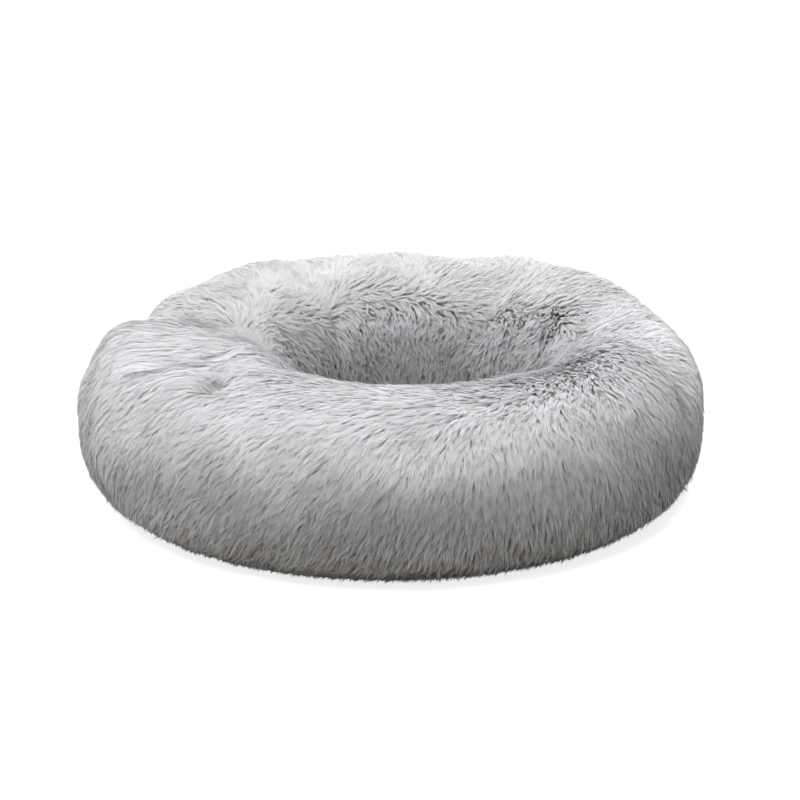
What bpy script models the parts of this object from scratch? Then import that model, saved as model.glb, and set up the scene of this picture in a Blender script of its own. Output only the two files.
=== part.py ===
"""Round pet bed: a long-pile bolster ring round a sunken nest, on a zipped non-slip base.

Lengths are in metres. +Z is up, the floor is z = 0, the origin is the middle of the
footprint and the front of the bed faces -Y.
"""

import math

import bmesh
import bpy
from mathutils import Matrix, Vector

# Overall form
bed_diameter = 0.840
bed_height = 0.236
nest_radius = 0.165
nest_shift = 0.035
floor_flat = 0.020
section_power = 2.2
lower_flank_power = 3.0

# Radial seams, where the two cover panels meet and the ring is drawn in
right_seam = math.radians(-4.0)
left_seam = math.radians(167.0)
seam_draw = 0.018
seam_spread = 0.034
seam_gap = 0.0003
right_seam_slant = 0.16
left_seam_slant = 0.20

# Soft folds over the bolster: azimuth, section angle and heading of each one's middle
fold_depth = 0.010
fold_spread = 0.022
fold_reach = 0.080
folds = (
    (math.radians(174.0), math.radians(105.0), math.radians(66.0)),
    (math.radians(206.0), math.radians(90.0), math.radians(72.0)),
    (math.radians(8.0), math.radians(112.0), math.radians(90.0)),
    (math.radians(118.0), math.radians(126.0), math.radians(90.0)),
    (math.radians(52.0), math.radians(130.0), math.radians(90.0)),
)

# Dimple on the left shoulder
dimple_azimuth = math.radians(221.0)
dimple_angle = math.radians(70.0)
dimple_depth = 0.011
dimple_spread = 0.024

# Covers
pile_depth = 0.016
backing_thickness = 0.002
skirt_height = 0.004
skirt_rise = 0.0235
skirt_tuck = 0.028
front_panel_steps = 30
rear_panel_steps = 26
crowding_share = 0.35
arc_step = math.radians(18.0)
cover_arc_steps = tuple(range(-1, 12))
stuffing_arc_steps = (-1, 0, 1, 3, 4, 5, 6, 7, 9, 10, 11)

# Clearances
layer_gap = 0.0003
soft_gap = 0.0005
stuffing_slack = 0.0010
band_gap = 0.0020
seat_gap = 0.0015

# Base
dot_radius = 0.006
dot_height = 0.0010
dot_spacing = 0.080
dot_margin = 0.020
dot_facets = 8
dot_foot_share = 0.8
dot_root = 0.0004
base_thickness = 0.0012
base_facets = 60

# Inner bags and stuffing
liner_thickness = 0.0010
slit_length = 0.120
slit_width = 0.005
cut_overrun = 0.002
seat_pad_height = 0.042
seat_pad_rounding = 0.012
seat_crown = 0.005
seat_facets = 48
seat_cover_rounding = 0.007

# Zip
zip_middle = math.radians(90.0)
zip_sweep = math.radians(66.0)
zip_facets = 22
band_facets = 49
tape_width = 0.010
tape_thickness = 0.0008
chain_gap = 0.0047
bead_height = 0.0007
tooth_pitch = 0.0065
tooth_width = 0.0028
tooth_root_share = 0.7
tooth_reach = 0.0012
tooth_thickness = 0.0026
stop_length = 0.0025
stop_thickness = 0.0036
stop_split = 0.0012
zip_end_margin = 0.006
slider_length = 0.013
slider_tail_width = 0.0068
slider_mouth_width = 0.0086
slider_thickness = 0.0056
slider_plate = 0.0012
slider_channel_width = 0.0048
slider_slot = 0.0016
slider_stand_off = 0.0010
wedge_length = 0.0038
wedge_width = 0.0024
wedge_setback = 0.0004
bail_length = 0.0084
bail_height = 0.0030
bail_width = 0.0018
bail_bar = 0.0010
bail_root = 0.0002
tab_length = 0.0206
tab_width = 0.0062
tab_neck_width = 0.0052
tab_thickness = 0.0010
tab_bar = 0.0011
tab_window_length = 0.0048
tab_window_width = 0.0026
tab_hole_length = 0.0050
tab_hole_width = 0.0024

# Sizes that follow from the ones above
outer_radius = bed_diameter / 2
half_height = (bed_height + floor_flat) / 2
middle_z = bed_height - half_height
cover_thickness = pile_depth + backing_thickness
base_top = dot_height + base_thickness
zip_z = base_top + layer_gap
chain_z = zip_z + tape_width + chain_gap / 2
zip_top = zip_z + 2 * tape_width + chain_gap
zip_start = zip_middle - zip_sweep / 2
outer_foot_z = zip_top + layer_gap
pad_top = base_top + layer_gap + seat_pad_height
inner_foot_z = pad_top + layer_gap

# Shapes as shares of the sizes that carry them
slider_outline_shares = (
    (-0.50, 0.85),
    (-0.36, 1.00),
    (-0.12, 0.98),
)
channel_mouth_share = 0.80
tab_grip_shares = ((-0.42, 1.0), (-0.90, 1.0), (-1.0, 0.55))
bail_shares = ((-0.55, 0.0), (-0.55, 0.62), (-0.45, 1.0), (0.37, 1.0), (0.45, 0.62), (0.45, 0.0))
merge_distance = 0.00001


for old_object in list(bpy.data.objects):
    bpy.data.objects.remove(old_object, do_unlink=True)

bed = bpy.data.collections.new("round_pet_bed")
cutters = bpy.data.collections.new("cutters")
bpy.context.scene.collection.children.link(bed)
bpy.context.scene.collection.children.link(cutters)


def make_material(name, colour, roughness, metallic=0.0):
    """A plain finish in the part's colour."""
    material = bpy.data.materials.new(name)
    material.use_nodes = True
    shader = material.node_tree.nodes["Principled BSDF"]
    shader.inputs["Base Color"].default_value = (*colour, 1.0)
    shader.inputs["Roughness"].default_value = roughness
    shader.inputs["Metallic"].default_value = metallic
    return material


long_pile = make_material("long_pile", (0.74, 0.73, 0.74), 0.95)
base_cloth_grey = make_material("base_cloth_grey", (0.055, 0.056, 0.060), 0.75)
grip_rubber = make_material("grip_rubber", (0.020, 0.020, 0.021), 0.80)
liner_white = make_material("liner_white", (0.80, 0.80, 0.78), 0.90)
fibre_white = make_material("fibre_white", (0.88, 0.88, 0.87), 1.00)
tape_grey = make_material("tape_grey", (0.30, 0.30, 0.31), 0.85)
tooth_grey = make_material("tooth_grey", (0.34, 0.34, 0.35), 0.45)
zip_metal = make_material("zip_metal", (0.62, 0.62, 0.63), 0.35, 1.0)


def place(name, mesh, material, collection=bed):
    """Puts a mesh into the scene as one named piece."""
    piece = bpy.data.objects.new(name, mesh)
    if material is not None:
        mesh.materials.append(material)
    collection.objects.link(piece)
    return piece


def as_cutter(piece):
    """Shows a piece only as a guide for a cut or a join."""
    piece.hide_render = True
    piece.display_type = "WIRE"
    return piece


def round_shading(mesh):
    """Smooth shading that keeps real edges sharp."""
    mesh.shade_smooth()
    mesh.set_sharp_from_angle(angle=math.radians(40.0))


def combine(piece, other, operation):
    """Cuts a piece with another, or joins the other to it."""
    step = piece.modifiers.new(other.name, "BOOLEAN")
    step.object = as_cutter(other)
    step.operation = operation
    step.solver = "EXACT"
    step.material_mode = "TRANSFER"


def ease(share):
    """Runs smoothly from 0 to 1."""
    share = min(max(share, 0.0), 1.0)
    return share * share * (3 - 2 * share)


# The bolster's section, which changes all the way round the ring


def tube_at(azimuth):
    """Centre radius and half width of the ring."""
    across = nest_shift * math.sin(azimuth)
    inner_radius = nest_shift * math.cos(azimuth) + math.sqrt(nest_radius**2 - across**2)
    return (outer_radius + inner_radius) / 2, (outer_radius - inner_radius) / 2


def seam_hollow(azimuth, angle, centre):
    """How far the seams draw the cover in where they draw fully."""
    hollow = 0.0
    for seam, slant in ((right_seam, right_seam_slant), (left_seam, left_seam_slant)):
        arc = math.remainder(azimuth - seam - slant * (angle - math.pi / 2), math.tau) * centre
        hollow += seam_draw * math.exp(-((arc / seam_spread) ** 2))
    return hollow


def fold_hollow(azimuth, angle, centre):
    """How deep the folds and the dimple lie."""
    arc = math.remainder(azimuth - dimple_azimuth, math.tau) * centre
    rise = (angle - dimple_angle) * half_height
    hollow = dimple_depth * math.exp(-(arc**2 + rise**2) / dimple_spread**2)
    for middle_azimuth, middle_angle, heading in folds:
        arc = math.remainder(azimuth - middle_azimuth, math.tau) * centre
        rise = (angle - middle_angle) * half_height
        along = arc * math.cos(heading) + rise * math.sin(heading)
        across = rise * math.cos(heading) - arc * math.sin(heading)
        fade = (across / fold_spread) ** 2 + (along / fold_reach) ** 4
        hollow += fold_depth * math.exp(-fade)
    return hollow


def oval_power(across, up):
    """How full the section's oval is: the outer flank is fuller below its middle."""
    return lower_flank_power if across > 0 and up < 0 else section_power


def flank_radius(azimuth, z, side):
    """Radius of the cover's face at a height: side +1 is the outside, -1 the nest."""
    centre, half_width = tube_at(azimuth)
    power = oval_power(side, z - middle_z)
    rise = abs(z - middle_z) / half_height
    return centre + side * half_width * (1 - rise**power) ** (1 / power)


def foot_radius(azimuth):
    """Radius of the cover's lower edge, turned in under the flank."""
    return flank_radius(azimuth, outer_foot_z, 1) - skirt_tuck


def arc_point(azimuth, step, inset):
    """(radius, z) on the oval section, set in by a depth from the cover's outer face."""
    centre, half_width = tube_at(azimuth)
    angle = step * arc_step
    power = 2 / oval_power(math.cos(angle), math.sin(angle))
    across = math.copysign(abs(math.cos(angle)) ** power, math.cos(angle))
    up = math.copysign(abs(math.sin(angle)) ** power, math.sin(angle))
    foot_z, full_z = (outer_foot_z, bed_height) if across > 0 else (inner_foot_z, middle_z)
    fullness = ease((middle_z + half_height * up - foot_z) / (full_z - foot_z))
    drawn = inset + fullness * seam_hollow(azimuth, angle, centre) + fold_hollow(azimuth, angle, centre)
    return centre + (half_width - drawn) * across, middle_z + (half_height - drawn) * up


def cover_line(azimuth, inset, foot_z):
    """A cover panel's face, from its turned-in lower edge over the top to the nest."""
    fold_z = foot_z + skirt_rise
    line = [(foot_radius(azimuth) - inset, foot_z)]
    line.append((flank_radius(azimuth, fold_z, 1) - inset, fold_z))
    line += [arc_point(azimuth, step, inset) for step in cover_arc_steps]
    line.append((flank_radius(azimuth, inner_foot_z, -1) + inset, inner_foot_z))
    return line


def stuffed_line(azimuth, inset, outer_limit, floor_z):
    """The closed section of what fills the cover: a liner or its stuffing."""
    nest_foot = flank_radius(azimuth, inner_foot_z, -1) + inset
    shoulder_z = outer_foot_z + inset - cover_thickness
    line = [(outer_limit, floor_z), (outer_limit, shoulder_z)]
    line += [arc_point(azimuth, step, inset) for step in stuffing_arc_steps]
    line.append((nest_foot, inner_foot_z))
    line.append((nest_foot, floor_z))
    return line


def panel_azimuths(start, end, steps):
    """Azimuths from seam to seam, closer together where the cover is drawn in."""
    shares = [step / steps for step in range(steps + 1)]
    return [
        start + (end - start) * (share - crowding_share * math.sin(math.tau * share) / math.tau)
        for share in shares
    ]


front_azimuths = panel_azimuths(left_seam, math.tau + right_seam, front_panel_steps)
rear_azimuths = panel_azimuths(right_seam, left_seam, rear_panel_steps)
ring_azimuths = front_azimuths[:-1] + rear_azimuths[:-1]


def stand_up(body, azimuths, sections):
    """Corners of the upright sections round the bed, a row for each section."""
    rows = []
    for azimuth, section in zip(azimuths, sections):
        across, along = math.cos(azimuth), math.sin(azimuth)
        rows.append([body.verts.new((r * across, r * along, z)) for r, z in section])
    return rows


def skin(body, rows):
    """Faces between rows, all split along the same diagonal so that layers nest."""
    for row, next_row in zip(rows, rows[1:]):
        for index in range(len(row) - 1):
            body.faces.new((row[index], row[index + 1], next_row[index + 1]))
            body.faces.new((row[index], next_row[index + 1], next_row[index]))


def finish_loft(name, body, material):
    """Turns a lofted body into a named piece."""
    bmesh.ops.recalc_face_normals(body, faces=body.faces)
    mesh = bpy.data.meshes.new(name)
    body.to_mesh(mesh)
    body.free()
    round_shading(mesh)
    return place(name, mesh, material)


def make_cover_panel(name, azimuths, foot_z):
    """One plush panel of the bolster: its backing, with the pile as it lies."""
    trim = seam_gap / (2 * nest_radius)
    azimuths = [azimuths[0] + trim, *azimuths[1:-1], azimuths[-1] - trim]
    body = bmesh.new()
    face, inside = (
        stand_up(body, azimuths, [cover_line(azimuth, inset, foot_z) for azimuth in azimuths])
        for inset in (0.0, cover_thickness)
    )
    skin(body, face)
    skin(body, inside)
    for edge in (0, -1):
        skin(body, [[outer[edge], inner[edge]] for outer, inner in zip(face, inside)])
        skin(body, [face[edge], inside[edge]])
    return finish_loft(name, body, long_pile)


make_cover_panel("bolster_cover_front", front_azimuths, skirt_height)
make_cover_panel("bolster_cover_rear", rear_azimuths, outer_foot_z)


# Radii of the base and of the nest, from the feet of the cover


def nest_distance(azimuth, radius):
    """Distance from the nest's middle of a point at a radius from the bed's middle."""
    return math.hypot(radius * math.cos(azimuth) - nest_shift, radius * math.sin(azimuth))


band_radius = min(foot_radius(azimuth) for azimuth in ring_azimuths) - cover_thickness - band_gap
tape_radius = band_radius - base_thickness / 2
stuffing_limit = tape_radius - slider_thickness / 2 - slider_stand_off

pad_radius = (
    min(
        nest_distance(azimuth, flank_radius(azimuth, inner_foot_z, -1) + cover_thickness)
        for azimuth in ring_azimuths
    )
    - seat_gap
)
seat_cover_top = inner_foot_z + cover_thickness
seat_cover_radius = (
    min(
        nest_distance(azimuth, flank_radius(azimuth, seat_cover_top, -1))
        for azimuth in ring_azimuths
    )
    - seat_gap
)


def make_slit(name, piece, centre, depth):
    """Opens the stuffing slit in the underside of a liner."""
    mesh = bpy.data.meshes.new(name)
    body = bmesh.new()
    size = Matrix.Diagonal((slit_length, slit_width, depth + 2 * cut_overrun, 1.0))
    bmesh.ops.create_cube(body, size=1.0, matrix=Matrix.Translation(centre) @ size)
    body.to_mesh(mesh)
    body.free()
    combine(piece, place(name, mesh, None, cutters), "DIFFERENCE")


def thicken(piece, thickness):
    """Gives an outer surface its wall, inwards."""
    wall = piece.modifiers.new("wall", "SOLIDIFY")
    wall.thickness = thickness
    wall.offset = -1.0
    wall.use_even_offset = True


def stuffed_ring(name, inset, outer_limit, floor_z, material):
    """A closed ring that follows the inside of the cover."""
    body = bmesh.new()
    sections = [stuffed_line(azimuth, inset, outer_limit, floor_z) for azimuth in ring_azimuths]
    rows = stand_up(body, ring_azimuths, sections)
    skin(body, [[*row, row[0]] for row in [*rows, rows[0]]])
    return finish_loft(name, body, material)


def make_bolster_stuffing():
    """The ring-shaped liner and the fibre in it."""
    floor_z = base_top + layer_gap
    inset = cover_thickness + stuffing_slack
    liner = stuffed_ring("bolster_liner", inset, stuffing_limit, floor_z, liner_white)
    thicken(liner, liner_thickness)
    slit_radius = (stuffing_limit + nest_radius) / 2
    slit_centre = Vector((0.0, -slit_radius, floor_z + liner_thickness / 2))
    make_slit("bolster_slit", liner, slit_centre, liner_thickness)
    step_in = liner_thickness + soft_gap
    stuffed_ring(
        "bolster_filling",
        inset + liner_thickness + stuffing_slack,
        stuffing_limit - step_in,
        floor_z + step_in,
        fibre_white,
    )


make_bolster_stuffing()


def turned(name, profile, facets, material, start=0.0, sweep=math.tau):
    """A profile of (radius, z) points turned about the bed's upright axis."""
    mesh = bpy.data.meshes.new(name)
    edges = [(index, index + 1) for index in range(len(profile) - 1)]
    mesh.from_pydata([(radius, 0.0, z) for radius, z in profile], edges, [])
    piece = place(name, mesh, material)
    piece.rotation_euler.z = start
    turn = piece.modifiers.new("turn", "SCREW")
    turn.angle = sweep
    turn.steps = facets
    turn.render_steps = facets
    turn.use_merge_vertices = sweep == math.tau
    turn.merge_threshold = merge_distance
    turn.use_smooth_shade = True
    return piece


def pad_profile(radius, floor_z, top_z, crown, rounding):
    """A soft disc from its crown, over its rounded rim, to the middle of its underside."""
    return [
        (0.0, top_z),
        (radius / 2, top_z - crown / 4),
        (radius - rounding, top_z - crown),
        (radius, top_z - crown - rounding),
        (radius, floor_z + rounding),
        (radius - rounding, floor_z),
        (0.0, floor_z),
    ]


def make_seat():
    """The nest's floor: a stuffed pad in its own liner under a plush disc."""
    floor_z = base_top + layer_gap
    profile = pad_profile(pad_radius, floor_z, pad_top, seat_crown, seat_pad_rounding)
    liner = turned("seat_liner", profile, seat_facets, liner_white)
    thicken(liner, liner_thickness)
    slit_centre = Vector((nest_shift, -pad_radius / 2, floor_z + liner_thickness / 2))
    make_slit("seat_slit", liner, slit_centre, liner_thickness)
    step_in = liner_thickness + soft_gap
    profile = pad_profile(
        pad_radius - step_in,
        floor_z + step_in,
        pad_top - step_in,
        seat_crown,
        seat_pad_rounding,
    )
    filling = turned("seat_filling", profile, seat_facets, fibre_white)
    cover_z = pad_top + layer_gap
    profile = pad_profile(
        seat_cover_radius,
        cover_z,
        cover_z + cover_thickness,
        seat_crown,
        seat_cover_rounding,
    )
    cover = turned("seat_cover", profile, seat_facets, long_pile)
    for piece in (liner, filling, cover):
        piece.location.x = nest_shift


make_seat()


# The base


def make_dots():
    """Rubber dots in the rings of a honeycomb, rooted in the cloth."""
    body = bmesh.new()
    depth = dot_height + dot_root
    dot_rings = int((band_radius - dot_margin) / dot_spacing)
    for column in range(-dot_rings, dot_rings + 1):
        for row in range(-dot_rings, dot_rings + 1):
            if abs(column + row) > dot_rings:
                continue
            x = dot_spacing * (column + row / 2)
            y = dot_spacing * row * math.sqrt(3) / 2
            bmesh.ops.create_cone(
                body,
                cap_ends=True,
                segments=dot_facets,
                radius1=dot_radius * dot_foot_share,
                radius2=dot_radius,
                depth=depth,
                matrix=Matrix.Translation((x, y, depth / 2)),
            )
    mesh = bpy.data.meshes.new("grip_dots")
    body.to_mesh(mesh)
    body.free()
    return place("grip_dots", mesh, grip_rubber, cutters)


def make_base_cloth():
    """The coated cloth under the whole bed, with its printed grip dots."""
    bpy.ops.mesh.primitive_cylinder_add(
        vertices=base_facets,
        radius=band_radius,
        depth=base_thickness,
        location=(0.0, 0.0, dot_height + base_thickness / 2),
    )
    disc = bpy.context.object
    disc.name = "base_cloth"
    disc.data.materials.append(base_cloth_grey)
    for owner in disc.users_collection:
        owner.objects.unlink(disc)
    bed.objects.link(disc)
    round_shading(disc.data)
    combine(disc, make_dots(), "UNION")


make_base_cloth()


def upright_strip(name, facets, bottom, top, thickness, material, start, sweep):
    """A strip of cloth that stands round the edge of the base."""
    face_radius = tape_radius + thickness / 2
    strip = turned(name, [(face_radius, top), (face_radius, bottom)], facets, material, start, sweep)
    thicken(strip, thickness)
    return strip


strip_trim = layer_gap / tape_radius
upright_strip(
    "base_band",
    band_facets,
    zip_z,
    zip_top,
    base_thickness,
    base_cloth_grey,
    zip_start + zip_sweep + strip_trim,
    math.tau - zip_sweep - 2 * strip_trim,
)


# The zip: two tapes, two rows of teeth and their stops, along an arc at the back

upright_strip(
    "zip_tape_lower",
    zip_facets,
    zip_z,
    zip_z + tape_width,
    tape_thickness,
    tape_grey,
    zip_start,
    zip_sweep,
)
upright_strip(
    "zip_tape_upper",
    zip_facets,
    zip_top - tape_width,
    zip_top,
    tape_thickness,
    tape_grey,
    zip_start,
    zip_sweep,
)

zip_length = zip_sweep * tape_radius
top_stop_at = zip_end_margin + stop_length / 2
slider_at = top_stop_at + stop_length / 2 + layer_gap + slider_length / 2
wedge_tail = -slider_length / 2 + wedge_setback + wedge_length
first_tooth_at = slider_at + wedge_tail + tooth_width
bottom_stop_at = zip_length - zip_end_margin - stop_length / 2
last_tooth_at = bottom_stop_at - stop_length / 2 - tooth_width


def along_zip(distance):
    """Frame on the zip's arc: X out of the bed, Y along the arc, Z up."""
    turn = Matrix.Rotation(zip_start + distance / tape_radius, 4, "Z")
    return turn @ Matrix.Translation((tape_radius, 0.0, chain_z))


def make_teeth(name, side, first):
    """One row of teeth on its bead: side -1 is the lower row, +1 the upper."""
    levels = {
        "edge": side * (chain_gap / 2 - layer_gap),
        "bead": side * (chain_gap / 2 - layer_gap - bead_height),
        "tip": -side * tooth_reach,
    }
    body = bmesh.new()

    def pair(at, level):
        """The outer and inner corner at a place along the zip."""
        half = tooth_thickness / 2
        frame = along_zip(at)
        return [body.verts.new(frame @ Vector((x, 0.0, levels[level]))) for x in (half, -half)]

    def wall(*corners):
        """The outer face, inner face and open edges of one flat stretch."""
        body.faces.new([corner[0] for corner in corners])
        body.faces.new([corner[1] for corner in reversed(corners)])

    def rim(low, high):
        """The narrow face between two pairs of corners."""
        body.faces.new((low[0], low[1], high[1], high[0]))

    half_root = tooth_width * tooth_root_share / 2
    half_head = tooth_width / 2
    count = int((last_tooth_at - first) / tooth_pitch) + 1
    last_edge = last_bead = None
    for number in range(count):
        middle = first + number * tooth_pitch
        edges = [pair(middle - half_root, "edge"), pair(middle + half_root, "edge")]
        beads = [pair(middle - half_root, "bead"), pair(middle + half_root, "bead")]
        tips = [pair(middle - half_head, "tip"), pair(middle + half_head, "tip")]
        wall(edges[0], edges[1], beads[1], beads[0])
        wall(beads[0], beads[1], tips[1], tips[0])
        rim(edges[0], edges[1])
        rim(beads[0], tips[0])
        rim(tips[0], tips[1])
        rim(beads[1], tips[1])
        if number:
            wall(last_edge, edges[0], beads[0], last_bead)
            rim(last_edge, edges[0])
            rim(last_bead, beads[0])
        else:
            rim(edges[0], beads[0])
        last_edge, last_bead = edges[1], beads[1]
    rim(last_edge, last_bead)
    bmesh.ops.recalc_face_normals(body, faces=body.faces)
    mesh = bpy.data.meshes.new(name)
    body.to_mesh(mesh)
    body.free()
    return place(name, mesh, tooth_grey)


make_teeth("zip_teeth_lower", -1, first_tooth_at)
make_teeth("zip_teeth_upper", 1, first_tooth_at + tooth_pitch / 2)


def make_zip_stop(name, at, low, high):
    """A stop block in the chain's gap, from one height to another."""
    body = bmesh.new()
    size = Matrix.Diagonal((stop_thickness, stop_length, high - low, 1.0))
    middle = Matrix.Translation((0.0, 0.0, (low + high) / 2))
    bmesh.ops.create_cube(body, size=1.0, matrix=along_zip(at) @ middle @ size)
    mesh = bpy.data.meshes.new(name)
    body.to_mesh(mesh)
    body.free()
    place(name, mesh, zip_metal)


stop_reach = chain_gap / 2 - layer_gap
make_zip_stop("zip_top_stop_lower", top_stop_at, -stop_reach, -stop_split / 2)
make_zip_stop("zip_top_stop_upper", top_stop_at, stop_split / 2, stop_reach)
make_zip_stop("zip_bottom_stop", bottom_stop_at, -stop_reach, stop_reach)


# The slider and its pull tab

axis_empty = bpy.data.objects.new("zip_travel_axis", None)
bed.objects.link(axis_empty)

facing_out = Matrix(((0, 0, 1, 0), (1, 0, 0, 0), (0, 1, 0, 0), (0, 0, 0, 1)))
facing_up = Matrix(((0, 1, 0, 0), (1, 0, 0, 0), (0, 0, -1, 0), (0, 0, 0, 1)))


def plate(name, outlines, thickness, stance, offset, collection, material):
    """A flat plate cut to its outlines, stood up in the slider's frame."""
    curve = bpy.data.curves.new(name, "CURVE")
    curve.dimensions = "2D"
    curve.fill_mode = "BOTH"
    curve.extrude = thickness / 2
    for outline in outlines:
        spline = curve.splines.new("POLY")
        spline.points.add(len(outline) - 1)
        for point, (along, across) in zip(spline.points, outline):
            point.co = (along, across, 0.0, 1.0)
        spline.use_cyclic_u = True
    drawn = bpy.data.objects.new(name, curve)
    bpy.context.scene.collection.objects.link(drawn)
    bpy.context.view_layer.update()
    graph = bpy.context.evaluated_depsgraph_get()
    mesh = bpy.data.meshes.new_from_object(drawn.evaluated_get(graph))
    bpy.data.objects.remove(drawn, do_unlink=True)
    body = bmesh.new()
    body.from_mesh(mesh)
    bmesh.ops.remove_doubles(body, verts=body.verts, dist=merge_distance)
    bmesh.ops.transform(body, matrix=Matrix.Translation(offset) @ stance, verts=body.verts)
    bmesh.ops.recalc_face_normals(body, faces=body.faces)
    body.to_mesh(mesh)
    body.free()
    mesh.materials.clear()
    return place(name, mesh, material, collection)


def mirrored(half):
    """A closed outline from its upper half."""
    return list(half) + [(along, -across) for along, across in reversed(half)]


def box(low_along, high_along, half_across):
    """A rectangle about the middle line."""
    return mirrored([(low_along, half_across), (high_along, half_across)])


def fit_in(piece, other, operation):
    """Combines a piece with another that moves along with it."""
    other.parent = piece
    combine(piece, other, operation)


def make_slider():
    """The slider: two plates round the chain, the wedge between the rows, and the bail."""
    half_length = slider_length / 2
    half_tail = slider_tail_width / 2
    half_mouth = slider_mouth_width / 2
    half_channel = slider_channel_width / 2
    outline = [(slider_length * s, half_mouth * w) for s, w in slider_outline_shares]
    outline += [(0.0, half_tail), (half_length, half_tail)]
    slider = plate(
        "zip_slider", [mirrored(outline)], slider_thickness, facing_out, Vector(), bed, zip_metal
    )
    mouth = half_mouth * channel_mouth_share
    past = half_length + cut_overrun
    wedge_start = -half_length + wedge_setback
    channel = mirrored([(-past, mouth), (0.0, half_channel), (past, half_channel)])
    wedge = [
        (wedge_start, 0.0),
        (wedge_start + wedge_length / 2, wedge_width / 2),
        (wedge_start + wedge_length, 0.0),
        (wedge_start + wedge_length / 2, -wedge_width / 2),
    ]
    channel_depth = slider_thickness - 2 * slider_plate
    channel_cutter = plate(
        "slider_channel", [channel, wedge], channel_depth, facing_out, Vector(), cutters, None
    )
    fit_in(slider, channel_cutter, "DIFFERENCE")
    low = (wedge_width / 2 + half_channel) / 2
    high = half_mouth + cut_overrun
    for side in (-1, 1):
        slot = [(-past, side * low), (past, side * low), (past, side * high), (-past, side * high)]
        slot_cutter = plate(
            "slider_slot_upper" if side > 0 else "slider_slot_lower",
            [slot],
            slider_slot,
            facing_out,
            Vector(),
            cutters,
            None,
        )
        fit_in(slider, slot_cutter, "DIFFERENCE")
    arch = [(bail_length * s, bail_height * h) for s, h in bail_shares]
    opening = [
        (along - math.copysign(bail_bar, along), max(up - bail_bar, 0.0)) for along, up in arch
    ]
    bail = plate(
        "slider_bail",
        [arch + opening[::-1]],
        bail_width,
        facing_up,
        Vector((slider_thickness / 2 - bail_root, 0.0, 0.0)),
        cutters,
        None,
    )
    fit_in(slider, bail, "UNION")
    slider.parent = axis_empty
    turn = zip_start + slider_at / tape_radius
    slider.location = (tape_radius * math.cos(turn), tape_radius * math.sin(turn), chain_z)
    slider.rotation_euler.z = turn
    return slider


def make_pull_tab(slider):
    """The tab, whose bar turns in the bail, lying along the zip."""
    half_window = tab_window_width / 2
    half_bar = tab_bar / 2
    window_end = half_bar + tab_window_length
    half_neck = tab_neck_width / 2
    outline = [(half_bar, half_neck), (-window_end, half_neck)]
    outline += [(tab_length * s, tab_width / 2 * w) for s, w in tab_grip_shares]
    window = box(-window_end, -half_bar, half_window)
    hole_start = -(tab_length + window_end) / 2 - tab_hole_length / 2
    hole = box(hole_start, hole_start + tab_hole_length, tab_hole_width / 2)
    tab = plate(
        "zip_pull_tab",
        [mirrored(outline), window, hole],
        tab_thickness,
        facing_out,
        Vector(),
        bed,
        zip_metal,
    )
    tab.parent = slider
    opening_middle = (bail_height - bail_root - bail_bar) / 2
    tab.location = (slider_thickness / 2 + opening_middle, 0.0, 0.0)


make_pull_tab(make_slider())
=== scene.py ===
"""Looks of the round pet bed: pile in locks over a backing, a woven base and a zip.

Lengths are in metres, +Z is up and the front of the bed faces -Y. Azimuths run from +X
towards +Y. Section angles run round the bolster: 0 faces out, 90 is the crest and 180
faces the nest.
"""

import math
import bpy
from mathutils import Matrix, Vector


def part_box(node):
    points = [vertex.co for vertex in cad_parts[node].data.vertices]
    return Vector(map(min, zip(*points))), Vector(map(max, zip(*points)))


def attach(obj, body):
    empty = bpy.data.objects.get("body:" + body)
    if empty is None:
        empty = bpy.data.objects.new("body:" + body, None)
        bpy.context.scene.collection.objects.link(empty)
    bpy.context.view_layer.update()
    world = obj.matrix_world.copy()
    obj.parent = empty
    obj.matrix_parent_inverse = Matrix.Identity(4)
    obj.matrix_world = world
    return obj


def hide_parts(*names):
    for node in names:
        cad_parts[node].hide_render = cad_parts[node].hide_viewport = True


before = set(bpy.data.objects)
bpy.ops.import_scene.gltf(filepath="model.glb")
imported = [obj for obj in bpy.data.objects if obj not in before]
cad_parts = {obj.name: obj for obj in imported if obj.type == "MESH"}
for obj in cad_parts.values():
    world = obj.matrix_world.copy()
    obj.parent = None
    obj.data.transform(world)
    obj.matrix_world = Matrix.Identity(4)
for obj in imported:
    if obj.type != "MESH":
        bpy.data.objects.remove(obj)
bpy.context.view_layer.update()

from types import SimpleNamespace

import bmesh
import bpy
import numpy as np
from mathutils import Vector

# The bed's main sizes, from the frame
cover_low, cover_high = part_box("bolster_cover_front")
rear_low, rear_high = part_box("bolster_cover_rear")
seat_low, seat_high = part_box("seat_cover")
liner_low, liner_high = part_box("seat_liner")
fibre_low, fibre_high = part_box("seat_filling")
_, cloth_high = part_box("base_cloth")
band_low, band_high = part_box("base_band")
tape_low, tape_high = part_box("zip_tape_lower")
upper_tape_low, upper_tape_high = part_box("zip_tape_upper")
bed_radius = (rear_high.y - cover_low.y) / 2
bed_height = cover_high.z
nest_shift = (seat_low.x + seat_high.x) / 2
skirt_z = cover_low.z
outer_foot_z = rear_low.z
inner_foot_z = seat_low.z
seat_top = seat_high.z
seat_radius = (seat_high.x - seat_low.x) / 2
base_radius = cloth_high.x
base_top = cloth_high.z
band_radius = band_high.x
tape_radius = tape_high.y
zip_middle = math.radians(90.0)
zip_half_sweep = math.asin(tape_high.x / tape_radius)

# The bolster's form
nest_radius = 0.165
floor_flat = 0.020
section_power = 2.2
lower_flank_power = 3.0
skirt_lean = 1.19
band_clearance = 0.0015
left_seam = math.radians(167.0)
right_seam = math.radians(-4.0)
right_seam_slant = 0.16
left_seam_slant = 0.20
seam_draw = 0.018
seam_spread = 0.034
half_height = (bed_height + floor_flat) / 2
middle_z = bed_height - half_height
stuffing_swell = 0.0022
stuffing_swell_pitch = 0.110

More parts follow.
